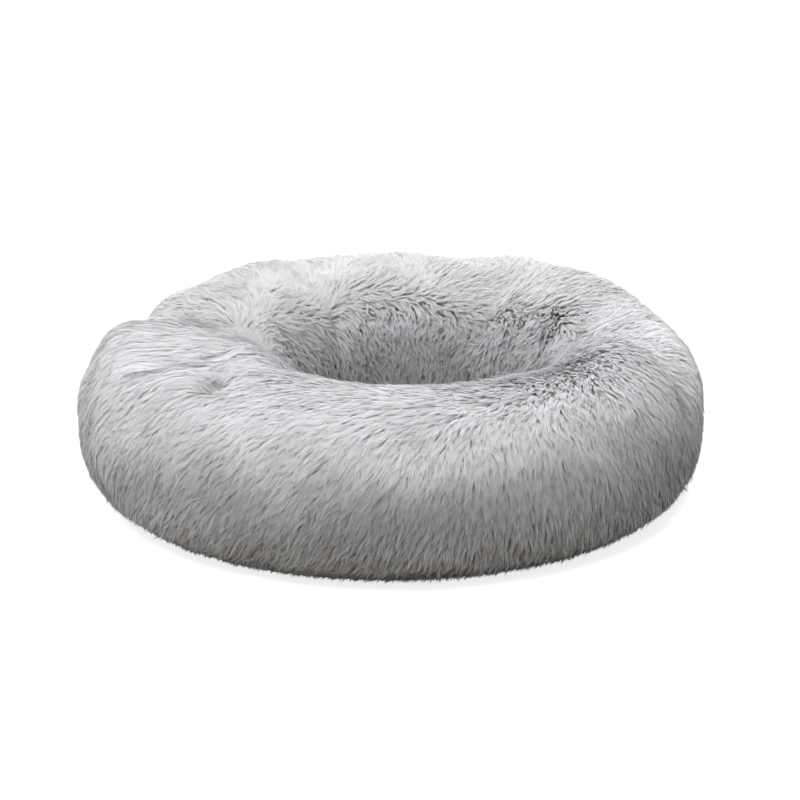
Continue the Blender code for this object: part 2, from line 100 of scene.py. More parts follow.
# Folds in the bolster, and bulges, whose depth is below zero:
# azimuth, section angle, heading, half length, half width and depth
folds = (
    (174, 105, 66, 0.08, 0.022, 0.01),
    (206, 90, 72, 0.08, 0.022, 0.01),
    (8, 112, 90, 0.08, 0.022, 0.01),
    (118, 126, 90, 0.08, 0.022, 0.01),
    (52, 130, 90, 0.08, 0.022, 0.01),
    (-5, 92, 64, 0.13, 0.011, 0.006),
    (175, 106, 66, 0.11, 0.014, 0.01),
    (209, 79, 58, 0.05, 0.011, 0.014),
    (42, 72, 0, 0.11, 0.05, -0.009),
    (184, 48, 0, 0.09, 0.035, -0.008),
    (128, 72, 0, 0.06, 0.04, -0.005),
    (203, 118, 0, 0.06, 0.035, -0.009),
    (218, 46, 78, 0.045, 0.01, 0.008),
    (0, 18, 0, 0.11, 0.055, -0.008),
    (186, 4, 0, 0.11, 0.05, -0.006),
    (217, 112, 0, 0.06, 0.04, -0.013),
)

# Dimples where the pile parts: azimuth, section angle, radius and depth
dimples = (
    (221, 70, 0.024, 0.011),
    (225, 76, 0.020, 0.016),
)

# The lay of the pile at azimuths along the front panel: its lean in degrees on the flank
# and on the crest, and how unruly and how tufted it is, from 0 to 1
lay_azimuths = (167, 200, 235, 262, 275, 290, 320, 356)
flank_leans = (5, 15, 38, 34, 24, 6, -8, -10)
crest_leans = (0, 10, 28, 66, 74, 74, 50, 0)
unruliness = (0.30, 0.22, 0.20, 0.26, 0.32, 0.40, 0.50, 0.60)
tuftedness = (0.2, 0.0, 0.0, 0.0, 0.1, 0.4, 0.6, 0.4)
rear_unruliness = 0.7
rear_tuftedness = 0.2
rear_crest_lean = 30

# Where the lay passes from flank to crest, and where it parts and falls into the nest
crest_start = math.radians(32)
crest_sweep = math.radians(54)
smooth_end = 372
smooth_fade = 30
parting_angle = 126
smooth_parting_shift = 26
parting_wander = 10
smooth_parting_calm = 6
parting_width = 1.1

# Tones of the pile, from 0 for the darkest to 1 for the palest, and the painted shade that takes from them:
# low on the flank, over the rear, in the dimple, the left crease and the folds
unshaded_tone = 0.92
darkest_tone = 0.03
palest_tone = 0.97
seat_tone = 0.70
low_painted_shade = 0.70
low_painted_shade_power = 0.5
rear_painted_shade = 0.22
dimple_painted_shade = 0.66
crease_painted_shade = 0.42
crease_offset = 0.010
crease_width = 0.009
fold_painted_shade = 24
unshaded_fold_depth = 0.009
low_pile_z = 0.01
low_pile_rise = 0.16

# Colours along a strand from root to tip, the darker roots partly the pile's own two tones and partly
# painted shade deep in the pile, and what a low tone takes from them
root_to_tip = (
    (0.0, (0.78, 0.77, 0.755)),
    (0.22, (0.88, 0.875, 0.87)),
    (0.50, (0.91, 0.91, 0.925)),
    (1.0, (0.94, 0.945, 0.975)),
)
# The low end of these colours carries painted shade as well as the pile's random darker tones
shade_and_tone_colours = (
    (0.0, (0.30, 0.265, 0.225)),
    (0.55, (0.68, 0.675, 0.675)),
    (1.0, (1.0, 1.0, 1.0)),
)

# Pile and backing
pile_depth = 0.012
backing_thickness = 0.0015
backing_step = 0.012
backing_rows = 64
lock_pitch = 0.0043
lock_radius = 0.0025
lock_strands = 9
lock_length = 0.028
strand_width = 0.00095
strand_stations = np.array([0.0, 0.52, 1.0])
strand_width_shares = np.array([1.0, 0.85])
strand_width_spread = (0.7, 1.25)
strand_length_spread = (0.74, 1.0)
strand_roll = 0.45
softness = 0.9
lock_length_spread = (0.84, 1.12)
root_rise = 27
messy_root_rise = 28
tip_rise = 1
messy_tip_rise = 14
seat_root_rise = 58
seat_tip_rise = 12
strands_per_piece = 64000
tone_width = 0.006
floor_clearance = 0.0006
tip_ceiling = bed_height + 0.0155
seat_clearance = 0.001
shortest_strand = 0.006
lowest_tip_spread = 0.006
zip_clearance_z = outer_foot_z + 0.0010
skirt_angle = 0.20
nest_edge_angle = 0.08
probe = 0.002
seed = 7

# Inner bags and their filling
stuffed_ring_facets = 240
pad_crown = 0.005
pad_rounding = 0.012
pad_facets = 192

# Base and zip
dot_height = 0.0010
dot_radius = 0.006
dot_spacing = 0.080
dot_margin = 0.020
dot_foot_share = 0.8
dot_root = 0.0003
dot_edge = 0.0002
dot_facets = 20
sheet_edge = 0.0004
sheet_rings = 24
sheet_facets = 180
band_thickness = 0.0012
band_edge = 0.0008
tape_thickness = 0.0008
tape_edge = 0.0004
strip_gap = 0.0003 / band_radius
strip_step = 0.004
ripple_share = 0.08
ripple_pitch = 0.009
stitch_pitch = 0.0042
stitch_length = 0.0030
stitch_width = 0.0005
stitch_sunk = stitch_width * 0.15
stitch_inset = 0.0022
stitch_facets = 6
weave_pitch = 0.0007
tape_weave_pitch = 0.0005
zip_bevel = 0.00022
tab_bevel = 0.00018

# Camera
camera_elevation = math.radians(18.94)
camera_distance = 5.0
pixels_per_metre = 735.5
photo_width = 800
sensor_width = 36.0
bed_centre_pixel = (390.6, 483.2)

# Studio
studio_size = 30.0
floor_drop = 0.0004
floor_glow = 0.8
floor_unseen = (0.30, 0.285, 0.26, 1.0)
floor_seen = (0.70, 0.70, 0.70, 1.0)
surround_strength = 0.27
sun_softness = math.radians(65.0)
sun_strength = 3.3
sun_tilts = (math.radians(3.0), math.radians(-11.0), 0.0)

parts = bpy.data.collections.new("bed_looks")
bpy.context.scene.collection.children.link(parts)


def add_piece(name, mesh, material, replaced=()):
    """Puts a mesh into the scene as a piece of the bed."""
    piece = bpy.data.objects.new(name, mesh)
    mesh.materials.clear()
    mesh.materials.append(material)
    parts.objects.link(piece)
    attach(piece, "bed")
    if replaced:
        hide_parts(*replaced)
    return piece


# The bolster's surface


def ring_at(azimuth):
    """Centre radius and half width of the ring."""
    across = nest_shift * np.sin(azimuth)
    inner = nest_shift * np.cos(azimuth) + np.sqrt(nest_radius**2 - across**2)
    return (bed_radius + inner) / 2, (bed_radius - inner) / 2


def signed_power(value, power):
    """A power that keeps the sign."""
    return np.sign(value) * np.abs(value) ** power


def ease(share):
    """Runs smoothly from 0 to 1."""
    share = np.clip(share, 0.0, 1.0)
    return share * share * (3 - 2 * share)


def wrapped(azimuth):
    """An azimuth brought between minus and plus half a turn."""
    return (azimuth + math.pi) % math.tau - math.pi


def unit(vectors):
    """Vectors at length 1."""
    return vectors / np.maximum(np.linalg.norm(vectors, axis=-1, keepdims=True), 1e-12)


def waves(places, wavelength, number, count=20):
    """Smooth random values, mostly from -1 to 1, over places in the bed."""
    draw = np.random.default_rng(seed * 100 + number)
    ways = unit(draw.normal(size=(count, 3)))
    pitches = wavelength * draw.uniform(0.7, 1.5, count)
    phases = draw.uniform(0, math.tau, count)
    return np.sin(places @ (ways * (math.tau / pitches)[:, None]).T + phases).sum(-1) / math.sqrt(count)


def from_dimple(azimuth, angle, centre, dimple):
    """Offsets from a dimple's middle, along the ring and up the section, in its radii."""
    arc = wrapped(azimuth - math.radians(dimple[0])) * centre
    rise = (angle - math.radians(dimple[1])) * half_height
    return arc / dimple[2], rise / dimple[2]


def from_seam(azimuth, angle, centre, seam, slant):
    """How far places lie from a slanting seam, along the ring."""
    return wrapped(azimuth - seam - slant * (angle - math.pi / 2)) * centre


def folded_in(azimuth, angle, centre, up):
    """How deep the seams, folds and dimples draw the cover in."""
    outside = np.cos(angle) > 0
    foot_z = np.where(outside, outer_foot_z, inner_foot_z)
    full_z = np.where(outside, bed_height, middle_z)
    height = ease((middle_z + half_height * up - foot_z) / (full_z - foot_z))
    drawn = np.zeros_like(azimuth)
    for seam, slant in ((right_seam, right_seam_slant), (left_seam, left_seam_slant)):
        arc = from_seam(azimuth, angle, centre, seam, slant)
        drawn += seam_draw * height * np.exp(-((arc / seam_spread) ** 2))
    for fold_azimuth, fold_angle, heading, length, width, depth in folds:
        arc = wrapped(azimuth - math.radians(fold_azimuth)) * centre
        rise = (angle - math.radians(fold_angle)) * half_height
        turn = math.radians(heading)
        along = arc * math.cos(turn) + rise * math.sin(turn)
        across = rise * math.cos(turn) - arc * math.sin(turn)
        drawn += depth * np.exp(-((across / width) ** 2) - (along / length) ** 4)
    for dimple in dimples:
        arc, rise = from_dimple(azimuth, angle, centre, dimple)
        drawn += dimple[3] * np.exp(-(arc**2) - rise**2)
    return drawn


foot_up = (outer_foot_z - middle_z) / half_height
outer_foot_angle = math.asin(signed_power(foot_up, lower_flank_power / 2))
nest_up = (inner_foot_z - middle_z) / half_height
inner_foot_angle = math.pi - math.asin(signed_power(nest_up, section_power / 2))


def bolster(azimuth, angle, depth):
    """Places on the bolster at a depth under the pile's tips, turned in past its feet."""
    centre, half_width = ring_at(azimuth)
    on_cover = np.clip(angle, outer_foot_angle, inner_foot_angle)
    past = np.abs(angle - on_cover) * half_height
    outside = np.cos(on_cover) > 0
    low = outside & (np.sin(on_cover) < 0)
    power = 2 / np.where(low, lower_flank_power, section_power)
    across = signed_power(np.cos(on_cover), power)
    up = signed_power(np.sin(on_cover), power)
    drawn = depth + folded_in(azimuth, on_cover, centre, up)
    radius = centre + (half_width - drawn) * across - skirt_lean * past * outside
    radius = np.where(low, np.maximum(radius, base_radius + band_clearance), radius)
    z = middle_z + (half_height - drawn) * up - past
    places = np.stack([radius * np.cos(azimuth), radius * np.sin(azimuth), z], axis=-1)
    swell = stuffing_swell * waves(places, stuffing_swell_pitch, 1, 12) * (past == 0)
    places[..., 0] += swell * across * np.cos(azimuth)
    places[..., 1] += swell * across * np.sin(azimuth)
    places[..., 2] += swell * up
    return places


section_angles = np.linspace(outer_foot_angle - 0.4, inner_foot_angle + 0.3, 3000)
section_line = bolster(np.full_like(section_angles, -math.pi / 2), section_angles, pile_depth)
section_arcs = np.cumsum(np.linalg.norm(np.diff(section_line, axis=0, prepend=section_line[:1]), axis=1))


def angle_at(arc):
    """The section angle at a distance along the section."""
    return np.interp(arc, section_arcs, section_angles)


def arc_at(angle):
    """The distance along the section at a section angle."""
    return np.interp(angle, section_angles, section_arcs)


# The pile


def lay_of_pile(azimuth, angle, places):
    """Which way the pile lies and how unruly it is, at each lock.

    The lean is the turn from straight down the outer side towards smaller azimuths.
    """
    degrees = np.degrees(azimuth) % 360
    degrees = np.where(degrees < 100, degrees + 360, degrees)
    rear = (degrees > lay_azimuths[-1]) | (degrees < lay_azimuths[0])
    flank = np.where(rear, 0.0, np.interp(degrees, lay_azimuths, flank_leans))
    crest = np.interp(degrees, lay_azimuths, crest_leans)
    crest = np.where(rear, rear_crest_lean * waves(places, 0.12, 2), crest)
    unruly = np.where(rear, rear_unruliness, np.interp(degrees, lay_azimuths, unruliness))
    tufted = np.where(rear, rear_tuftedness, np.interp(degrees, lay_azimuths, tuftedness))
    height = ease((angle - crest_start) / crest_sweep)
    lean = np.radians(flank + (crest - flank) * height)
    smooth = np.where(rear, 0.0, ease((smooth_end - degrees) / smooth_fade))
    wander = (parting_wander - smooth_parting_calm * smooth) * waves(places, 0.09, 3)
    parting = np.radians(parting_angle + smooth_parting_shift * smooth + wander)
    inward = ease((angle - parting + parting_width / 2) / parting_width)
    lean = lean + (math.pi - lean) * inward
    top = np.sin(np.clip(angle, 0.0, math.pi)) ** 2
    messy = unruly * (0.30 + 0.70 * top * tufted)
    messy = np.clip(np.maximum(messy, 0.9 * inward), 0.12, 1.0)
    lean = lean + messy * 0.40 * waves(places, 0.085, 4)
    lean = lean + (0.08 + 0.10 * messy) * waves(places, 0.022, 5)
    centre, _ = ring_at(azimuth)
    arc, rise = from_dimple(azimuth, angle, centre, dimples[1])
    near = np.exp(-((arc**2 + rise**2) / 1.3) ** 2)
    down = (1 - near) * np.cos(lean) - near * rise
    aside = (1 - near) * np.sin(lean) - near * arc
    return np.arctan2(aside, down), messy, near


def lock_places(start, end, low, high, draw):
    """Azimuths and distances along the section of locks, spread evenly over a panel."""
    rows = int((arc_at(high) - arc_at(low)) / lock_pitch)
    jitter = 0.5 * lock_pitch
    found = []
    for arc in np.linspace(arc_at(low), arc_at(high), rows):
        grid = np.linspace(start, end, 240)
        ring = bolster(grid, angle_at(np.full_like(grid, arc)), pile_depth)
        along = np.cumsum(np.linalg.norm(np.diff(ring, axis=0, prepend=ring[:1]), axis=1))
        count = int(along[-1] / lock_pitch)
        at = (np.arange(count) + 0.5) * along[-1] / count + draw.uniform(-jitter, jitter, count)
        shift = draw.uniform(-jitter, jitter, count)
        found.append(np.stack([np.interp(at, along, grid), arc + shift], axis=1))
    return np.concatenate(found).T


def strand_meshes(name, spines, facing, width, tones, draw, material):
    """Flat tapering strands along their spines, as meshes of limited size."""
    ahead = unit(np.diff(spines, axis=1))
    side = unit(np.cross(ahead, facing))
    roll = draw.uniform(-strand_roll, strand_roll, len(spines))[:, None, None]
    side = np.cos(roll) * side + np.sin(roll) * np.cross(ahead, side)
    normals = unit(softness * facing + (1 - softness) * np.cross(side, ahead))
    normals = np.repeat(normals, 2, axis=1)
    normals = np.concatenate([normals, normals[:, -1:]], axis=1)
    widths = side * (strand_width * strand_width_shares / 2)[None, :, None]
    widths *= (width * draw.uniform(*strand_width_spread, len(spines)))[:, None, None]
    total, stations = spines.shape[:2]
    per = 2 * (stations - 1) + 1
    pattern = []
    for base in range(0, 2 * (stations - 2), 2):
        pattern += [base, base + 1, base + 3, base + 2]
    pattern += [per - 3, per - 2, per - 1]
    pattern = np.array(pattern)
    sizes = np.array([4] * (stations - 2) + [3])
    starts = np.concatenate([[0], np.cumsum(sizes)[:-1]])
    along = np.repeat(strand_stations, 2)[:per]
    beside = np.array([-1.0, 1.0] * (stations - 1) + [0.0])
    count = math.ceil(total / strands_per_piece)
    for number in range(count):
        chosen = slice(number * total // count, (number + 1) * total // count)
        spine, reach, tone = spines[chosen], widths[chosen], tones[chosen]
        strands = len(spine)
        corners = np.empty((strands, per, 3), np.float32)
        corners[:, 0:-1:2] = spine[:, :-1] - reach
        corners[:, 1:-1:2] = spine[:, :-1] + reach
        corners[:, -1] = spine[:, -1]
        loops = np.arange(strands)[:, None] * per + pattern[None, :]
        begin = np.arange(strands)[:, None] * len(pattern) + starts[None, :]
        mesh = bpy.data.meshes.new(f"{name}_{number + 1}")
        mesh.vertices.add(strands * per)
        mesh.vertices.foreach_set("co", corners.ravel())
        mesh.loops.add(loops.size)
        mesh.loops.foreach_set("vertex_index", loops.ravel().astype(np.int32))
        mesh.polygons.add(strands * len(sizes))
        mesh.polygons.foreach_set("loop_start", begin.ravel().astype(np.int32))
        uv = np.empty((strands, len(pattern), 2), np.float32)
        uv[:, :, 0] = tone[:, None] + tone_width * beside[pattern][None, :]
        uv[:, :, 1] = 0.02 + 0.96 * along[pattern][None, :]
        layer = mesh.uv_layers.new(name="OFBake")
        layer.uv.foreach_set("vector", uv.ravel())
        mesh.polygons.foreach_set("use_smooth", np.ones(strands * len(sizes), bool))
        mesh.update(calc_edges=True)
        mesh.normals_split_custom_set_from_vertices(normals[chosen].reshape(-1, 3))
        add_piece(f"{name}_{number + 1}", mesh, material)


def low_shade_share(azimuth):
    """How much painted shade darkens the lower pile: least at the left end, where more light falls."""
    degrees = np.degrees(azimuth) % 360
    return np.interp(degrees, (0, 120, 165, 205, 240, 265, 360), (1, 0.8, 0.2, 0.1, 0.75, 1, 1))


def uneven(azimuth, low):
    """How much the tones of the lower pile vary, from 0 to 1, in the painted light and shade of standing
    and flat locks and in random tone.
    """
    return low * (0.4 + 0.6 * low_shade_share(azimuth))


def behind(azimuth):
    """How much painted shade darkens the pile as a whole: most beside the left seam, none at the front."""
    degrees = np.degrees(azimuth) % 360
    return np.interp(degrees, (0, 20, 110, 140, 165, 180, 200), (0, 1, 1, 1.2, 1.2, 0.5, 0))


def tip_floor(azimuth):
    """How low the pile hangs: clear of the zip, and down to the floor elsewhere."""
    away = np.abs(wrapped(azimuth - zip_middle)) - zip_half_sweep
    beside = ease((np.degrees(away) - 3) / 8)
    return floor_clearance + (zip_clearance_z - floor_clearance) * (1 - beside)


def comb_locks(start, end, low, high, draw):
    """Where the locks on a panel are rooted, how they lie and rise, and their tones, painted lighter where
    a lock stands higher and darker where it lies flatter.
    """
    azimuth, arc = lock_places(start, end, low, high, draw)
    root = bolster(azimuth, angle_at(arc), pile_depth)
    _, messy, _ = lay_of_pile(azimuth, angle_at(arc), root)
    doubled = draw.random(len(azimuth)) < 0.6 * messy
    azimuth = np.concatenate([azimuth, azimuth[doubled] + 0.4 * lock_pitch / bed_radius])
    arc = np.concatenate([arc, arc[doubled] + 0.5 * lock_pitch])
    order = np.argsort(azimuth, kind="stable")
    azimuth, arc = azimuth[order], arc[order]
    root = bolster(azimuth, angle_at(arc), pile_depth)
    lean, messy, near = lay_of_pile(azimuth, angle_at(arc), root)
    locks = len(azimuth)
    lean += (1 - near) * (draw.normal(0.0, 0.07, locks) + messy * draw.normal(0.0, 0.34, locks))
    length = lock_length * (1 + 0.10 * waves(root, 0.04, 6)) * draw.uniform(*lock_length_spread, locks)
    length *= (1 - 0.16 * messy) * (1 - 0.35 * near)
    low = 1 - ease((root[:, 2] - low_pile_z) / low_pile_rise)
    rise_start = np.radians(root_rise + messy_root_rise * messy)
    rise_start += draw.normal(0.0, 0.08, locks) * (0.3 + messy)
    standing = draw.normal(0.0, 1.0, locks)
    rise_end = np.radians(tip_rise + messy_tip_rise * messy)
    rise_end += 0.10 * standing * (0.3 + np.maximum(messy, low))
    tuft = draw.random(locks) < 0.08 * messy
    rise_end = rise_end + tuft * draw.uniform(0.15, 0.45, locks)
    curl = draw.normal(0.0, 0.22, locks) * (0.5 + messy)
    gather = 0.85 - np.maximum(0.40 * messy, 0.55 * low)
    # Higher-standing locks painted lighter and flatter ones darker: painted light and shade, with each
    # lock's random tone
    tone = standing * (0.02 + 0.26 * uneven(azimuth, low))
    width = 0.72 + 0.28 * np.maximum(messy, low)
    rooted = {"azimuth": azimuth, "arc": arc, "messy": messy, "near": near, "low": low}
    shaped = {"lean": lean, "length": length, "rise_start": rise_start, "rise_end": rise_end}
    dressed = {"curl": curl, "gather": gather, "tone": tone, "width": width}
    return rooted | shaped | dressed


def grow_on_bolster(name, start, end, number, material):
    """Pile over one panel of the bolster, in locks that lie as the photograph's do."""
    draw = np.random.default_rng(seed * 10 + number)
    low, high = outer_foot_angle - skirt_angle, inner_foot_angle - nest_edge_angle
    locks = comb_locks(start, end, low, high, draw)
    strand = SimpleNamespace(**{key: np.repeat(values, lock_strands) for key, values in locks.items()})
    azimuth, arc, low, messy = strand.azimuth, strand.arc, strand.low, strand.messy
    strands = len(azimuth)
    loose = draw.random(strands) < 0.04 + 0.16 * messy
    turn = draw.uniform(0, math.tau, strands)
    away = lock_radius * np.sqrt(draw.random(strands))
    away = away * np.where(loose, 1.6, 1.4 - 0.5 * np.maximum(messy, low))
    gather = np.where(loose, draw.uniform(0.7, 1.3, strands), strand.gather)
    lean = strand.lean + loose * draw.normal(0.0, 0.25, strands)
    length = strand.length * draw.uniform(*strand_length_spread, strands) * np.where(loose, 0.85, 1.0)

    angle = angle_at(arc)
    here = bolster(azimuth, angle, pile_depth)
    by_azimuth = bolster(azimuth + probe, angle, pile_depth) - here
    by_arc = bolster(azimuth, angle_at(arc + probe), pile_depth) - here
    azimuth_scale = probe / np.linalg.norm(by_azimuth, axis=1)

    def spine_at(share, length):
        """Places along the strands at one share of their length."""
        steep = strand.rise_start + (strand.rise_end - strand.rise_start) * share / 2
        reach = length * share * np.cos(steep)
        height = length * share * np.sin(steep)
        heading = lean + strand.curl * share
        spread = away * (1 + (gather - 1) * share**0.8)
        down = reach * np.cos(heading) + spread * np.cos(turn)
        aside = reach * np.sin(heading) + spread * np.sin(turn)
        return bolster(azimuth - aside * azimuth_scale, angle_at(arc - down), pile_depth - height)

    lowest = tip_floor(azimuth) + draw.random(strands) ** 2 * lowest_tip_spread
    tip = spine_at(1.0, length)
    first = spine_at(0.0, length)
    drop = np.maximum(first[:, 2] - tip[:, 2], 1e-6)
    room = np.clip((first[:, 2] - lowest) / drop, 0.0, 1.0)
    length = np.where(tip[:, 2] < lowest, length * room, length)
    kept = length > shortest_strand
    spines = np.stack([spine_at(share, length) for share in strand_stations], axis=1)
    nest_side = np.hypot(spines[..., 0] - nest_shift, spines[..., 1]) < seat_radius + 0.01
    floor = np.where(nest_side, seat_top + seat_clearance, floor_clearance)
    spines[..., 2] = np.clip(spines[..., 2], floor, tip_ceiling)
    facing = unit(np.cross(by_azimuth, by_arc))[:, None, :]

    tone = unshaded_tone + 0.05 * waves(here, 0.06, 8) + strand.tone
    # Painted shade on the lower pile, strongest at the foot and least at the left end
    tone -= low_painted_shade * low**low_painted_shade_power * low_shade_share(azimuth)
    # Random tone lower down, and painted shade over the rear panel, most beside the left seam
    tone += 0.10 * low * waves(here, 0.020, 10) - rear_painted_shade * behind(azimuth)
    tone += draw.normal(0.0, 1.0, strands) * (0.02 + 0.18 * uneven(azimuth, low))
    # Painted shade in the hollow of the dimple
    tone -= dimple_painted_shade * strand.near
    centre, _ = ring_at(azimuth)
    # Painted shade in the crease just on the rear side of the left seam, over the crest and nest side
    beside = from_seam(azimuth, angle, centre, left_seam, left_seam_slant) + crease_offset
    tone -= crease_painted_shade * np.exp(-((beside / crease_width) ** 2)) * ease((angle - 1.2) / 0.4)
    # Painted shade in the deeper folds and seams on the left half, over the crest and into the nest
    deep = np.maximum(folded_in(azimuth, angle, centre, np.sin(angle)) - unshaded_fold_depth, 0)
    tone -= fold_painted_shade * (np.cos(azimuth) < 0) * deep * ease((angle - 1.25) / 0.6)
    tone = np.clip(tone, darkest_tone, palest_tone)
    strand_meshes(name, spines[kept], facing[kept], strand.width[kept], tone[kept], draw, material)


def grow_on_seat(name, number, material):
    """Pile over the nest's floor, lying in swirls."""
    draw = np.random.default_rng(seed * 10 + number)
    rows = int(2 * seat_radius / lock_pitch)
    steps = (np.arange(rows) + 0.5) / rows * 2 - 1
    x, y = (grid.ravel() * seat_radius for grid in np.meshgrid(steps, steps))
    x = x + draw.uniform(-0.48, 0.48, len(x)) * lock_pitch
    y = y + draw.uniform(-0.48, 0.48, len(y)) * lock_pitch
    inside = np.hypot(x, y) < seat_radius - 0.003
    x, y = x[inside], y[inside]
    root = np.stack([x + nest_shift, y, np.full_like(x, seat_top - pile_depth)], axis=1)
    locks = len(x)
    heading = 0.6 + 1.6 * waves(root, 0.11, 9) + draw.normal(0.0, 0.22, locks)
    length = lock_length * draw.uniform(0.7, 1.0, locks)
    rise_start = np.radians(seat_root_rise) + draw.normal(0.0, 0.1, locks)
    rise_end = np.radians(seat_tip_rise) + draw.normal(0.0, 0.15, locks)
    root, heading, length, rise_start, rise_end = (
        np.repeat(values, lock_strands, axis=0)
        for values in (root, heading, length, rise_start, rise_end)
    )
    strands = len(heading)
    turn = draw.uniform(0, math.tau, strands)
    away = lock_radius * np.sqrt(draw.random(strands))
    length = length * draw.uniform(*strand_length_spread, strands)
    spines = []
    for share in strand_stations:
        steep = rise_start + (rise_end - rise_start) * share / 2
        reach = length * share * np.cos(steep)
        spread = away * (1 - 0.65 * share**0.8)
        place = root.copy()
        place[:, 0] += reach * np.cos(heading) + spread * np.cos(turn)
        place[:, 1] += reach * np.sin(heading) + spread * np.sin(turn)
        place[:, 2] += length * share * np.sin(steep)
        out = np.hypot(place[:, 0] - nest_shift, place[:, 1])
        held = np.minimum(1.0, (seat_radius + 0.002) / np.maximum(out, 1e-6))
        place[:, 0] = nest_shift + (place[:, 0] - nest_shift) * held
        place[:, 1] *= held
        spines.append(place)
    tones = np.clip(draw.normal(seat_tone, 0.09, strands), darkest_tone, palest_tone)
    upright = np.broadcast_to(np.array([0.0, 0.0, 1.0]), (strands, 1, 3))
    strand_meshes(name, np.stack(spines, axis=1), upright, np.ones(strands), tones, draw, material)


# Materials


def add_node(tree, kind, values=(), **settings):
    """A node with its settings, whose inputs take values or other nodes' outputs."""
    node = tree.nodes.new(kind)
    for name, value in settings.items():
        setattr(node, name, value)
    for key, value in dict(values).items():
        if isinstance(value, bpy.types.NodeSocket):
            tree.links.new(value, node.inputs[key])
        else:
            node.inputs[key].default_value = value
    return node


def maths(tree, operation, *values):
    """The result of one sum in a node tree."""
    return add_node(tree, "ShaderNodeMath", enumerate(values), operation=operation).outputs["Value"]


def mixed(tree, factor, first, second, blend="MIX"):
    """Two colours mixed in a node tree."""
    values = {"Factor": factor, 6: first, 7: second}
    return add_node(tree, "ShaderNodeMix", values, data_type="RGBA", blend_type=blend).outputs[2]


def new_material(name, colour, roughness, specular, metallic=0.0):
    """A material with its node tree and its Principled shader."""
    material = bpy.data.materials.new(name)
    material.use_nodes = True
    shader = material.node_tree.nodes["Principled BSDF"]
    shader.inputs["Base Color"].default_value = (*colour, 1.0)
    shader.inputs["Roughness"].default_value = roughness
    shader.inputs["Specular IOR Level"].default_value = specular
    shader.inputs["Metallic"].default_value = metallic
    return material, material.node_tree, shader


def new_group(name, inputs, outputs):
    """A shader node group with named sockets of numbers, vectors or colours."""
    kinds = {"number": "NodeSocketFloat", "vector": "NodeSocketVector", "colour": "NodeSocketColor"}
    tree = bpy.data.node_groups.new(name, "ShaderNodeTree")
    for direction, sockets in (("INPUT", inputs), ("OUTPUT", outputs)):
        for socket, kind in sockets.items():
            tree.interface.new_socket(name=socket, in_out=direction, socket_type=kinds[kind])
    return tree, tree.nodes.new("NodeGroupInput").outputs, tree.nodes.new("NodeGroupOutput").inputs


def placed(tree, group, values):
    """The outputs of a group placed in a material with its own values."""
    return add_node(tree, "ShaderNodeGroup", values, node_tree=group).outputs


def colour_ramp(tree, place, stops):
    """A ramp through colours at places from 0 to 1, the first and the last included."""
    node = add_node(tree, "ShaderNodeValToRGB", {"Fac": place})
    elements = node.color_ramp.elements
    elements[0].color = (*stops[0][1], 1.0)
    elements[1].color = (*stops[-1][1], 1.0)
    for position, colour in stops[1:-1]:
        elements.new(position).color = (*colour, 1.0)
    return node


def make_weave_group():
    """Plain weave: how high the threads stand over the gaps between them."""
    tree, given, result = new_group(
        "plain_weave", {"Threads": "vector", "Pitch": "number"}, {"Height": "number"}
    )
    split = add_node(tree, "ShaderNodeSeparateXYZ", {"Vector": given["Threads"]})
    sines = []
    for axis in ("X", "Y"):
        turns = maths(tree, "DIVIDE", split.outputs[axis], given["Pitch"])
        sines.append(maths(tree, "SINE", maths(tree, "MULTIPLY", turns, math.pi)))
    over = maths(tree, "MULTIPLY", sines[0], sines[1])
    warp_up = maths(tree, "MULTIPLY_ADD", over, 0.5, 0.5)
    weft_up = maths(tree, "MULTIPLY_ADD", over, -0.5, 0.5)
    warp = maths(tree, "MULTIPLY", maths(tree, "ABSOLUTE", sines[0]), warp_up)
    weft = maths(tree, "MULTIPLY", maths(tree, "ABSOLUTE", sines[1]), weft_up)
    tree.links.new(maths(tree, "MAXIMUM", warp, weft), result["Height"])
    return tree


def make_handling_group():
    """Dust, rubbing and fine unevenness over a surface, as masks from 0 to 1."""
    tree, given, result = new_group(
        "handling", {"Size": "number", "Grain": "number"}, {"Patches": "number", "Specks": "number"}
    )
    place = add_node(tree, "ShaderNodeTexCoord").outputs["Object"]
    for size, socket, roughness in (("Size", "Patches", 0.55), ("Grain", "Specks", 0.7)):
        values = {"Vector": place, "Scale": given[size], "Detail": 4.0, "Roughness": roughness}
        noise = add_node(tree, "ShaderNodeTexNoise", values)
        values = {"Value": noise.outputs["Fac"], "From Min": 0.32, "From Max": 0.68}
        spread = add_node(tree, "ShaderNodeMapRange", values)
        tree.links.new(spread.outputs["Result"], result[socket])
    return tree


plain_weave = make_weave_group()
handling = make_handling_group()


def bump(tree, height, distance):
    """A normal raised by a height."""
    return add_node(tree, "ShaderNodeBump", {"Height": height, "Distance": distance}).outputs["Normal"]


